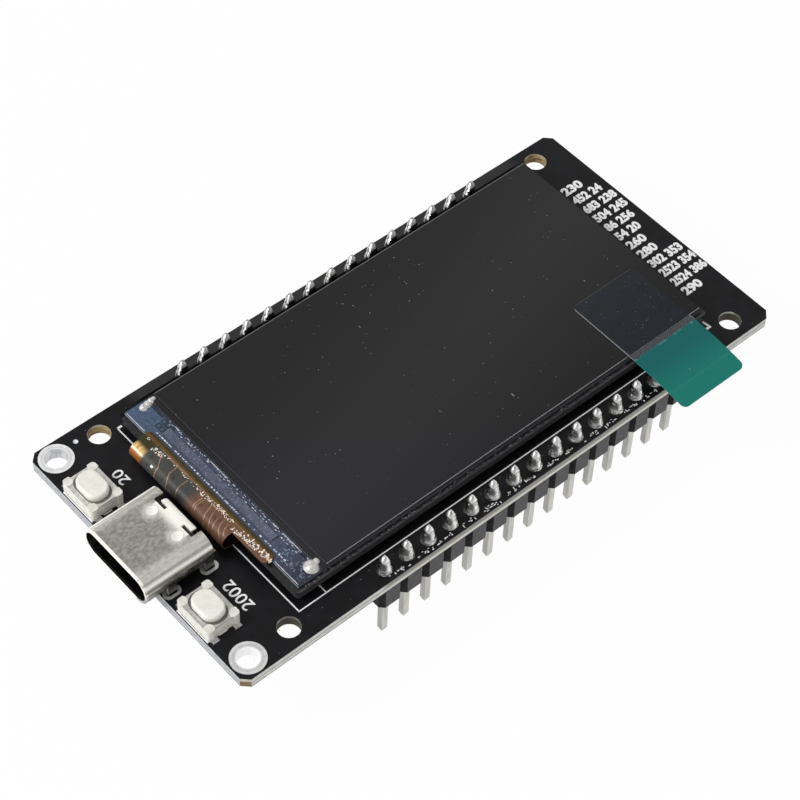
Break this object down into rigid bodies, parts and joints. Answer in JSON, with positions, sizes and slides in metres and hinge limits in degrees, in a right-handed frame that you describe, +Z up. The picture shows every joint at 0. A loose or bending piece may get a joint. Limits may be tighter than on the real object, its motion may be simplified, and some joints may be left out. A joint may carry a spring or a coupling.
{
  "type": "display development board",
  "caption": "Slim microcontroller board with a small colour display on top, a USB-C socket and push buttons at one end, and rows of header pins under its long sides.",
  "frame": {"origin": "centre of the four mounting holes, on the circuit board's underside", "axes": "+X from the USB end to the far end, +Y across the board towards the reset button, +Z up through the display"},
  "size_m": [0.0656, 0.0346, 0.0125],
  "materials": {
    "solder_mask": "satin",
    "tin_plating": "satin",
    "foam_tape": "matte",
    "frame_plastic": "satin",
    "white_film": "matte",
    "light_guide_acrylic": "polished",
    "lamp_resin": "matte",
    "black_tape": "matte",
    "polariser_film": "polished",
    "rear_panel_glass": "polished",
    "front_panel_glass": "polished",
    "clear_film": "polished",
    "tab_film": "polished",
    "green_liner": "satin",
    "silicon": "polished",
    "flex_film": "satin",
    "paste": "satin",
    "solder": "bright",
    "shell_steel": "brushed",
    "socket_plastic": "matte",
    "contact_gilt": "bright",
    "button_plastic": "matte",
    "plunger_plastic": "satin",
    "cover_steel": "satin",
    "dome_steel": "bright",
    "lead_tin": "satin",
    "strip_plastic": "matte",
    "pin_metal": "bright",
    "module_mask": "satin",
    "shield_metal": "satin",
    "chip_epoxy": "matte",
    "crystal_lid": "satin",
    "trace_copper": "satin",
    "capacitor_ceramic": "satin",
    "resistor_coat": "satin",
    "red_lens": "polished"
  },
  "bodies": {
    "board": {"circuit_board": "solder_mask", "corner_hole_plating": "tin_plating", "usb_slot_plating": "tin_plating", "display_tape": "foam_tape", "backlight_frame": "frame_plastic", "backlight_reflector": "white_film", "backlight_films": "white_film", "light_guide": "light_guide_acrylic", "backlight_lamps": "lamp_resin", "rim_tape": "black_tape", "rear_polariser": "polariser_film", "front_polariser": "polariser_film", "rear_glass": "rear_panel_glass", "front_glass": "front_panel_glass", "protective_film": "clear_film", "pull_tab": "tab_film", "pull_tab_liner": "green_liner", "driver_chip": "silicon", "display_flex": "flex_film", "silver_paste": "paste", "usb_solder": "solder", "flex_solder": "solder", "near_solder": "solder", "far_solder": "solder", "module_solder": "solder", "usb_shell": "shell_steel", "usb_moulding": "socket_plastic", "usb_contacts": "contact_gilt", "reset_base": "button_plastic", "boot_base": "button_plastic", "reset_cover": "cover_steel", "boot_cover": "cover_steel", "reset_dome": "dome_steel", "boot_dome": "dome_steel", "reset_terminals": "lead_tin", "boot_terminals": "lead_tin", "serial_leads": "lead_tin", "regulator_leads": "lead_tin", "transistor_leads": "lead_tin", "diode_leads": "lead_tin", "chip_terminals": "lead_tin", "near_strip": "strip_plastic", "far_strip": "strip_plastic", "near_pins": "pin_metal", "far_pins": "pin_metal", "module_board": "module_mask", "module_shield": "shield_metal", "module_processor": "chip_epoxy", "module_memory": "chip_epoxy", "serial_chip": "chip_epoxy", "regulator_body": "chip_epoxy", "transistor_bodies": "chip_epoxy", "input_diode": "chip_epoxy", "module_crystal": "crystal_lid", "module_antenna": "trace_copper", "chip_capacitors": "capacitor_ceramic", "chip_resistors": "resistor_coat", "power_lamp_body": "red_lens"},
    "reset_button": {"reset_plunger": "plunger_plastic"},
    "boot_button": {"boot_plunger": "plunger_plastic"}
  },
  "joints": [
    {"name": "reset_press", "type": "slide", "parent": "board", "child": "reset_button", "axis": [0, 0, -1], "range_m": [0, 0.00025], "stiffness_N_per_m": 6000, "deforming": ["reset_dome"]},
    {"name": "boot_press", "type": "slide", "parent": "board", "child": "boot_button", "axis": [0, 0, -1], "range_m": [0, 0.00025], "stiffness_N_per_m": 6000, "deforming": ["boot_dome"]}
  ]
}
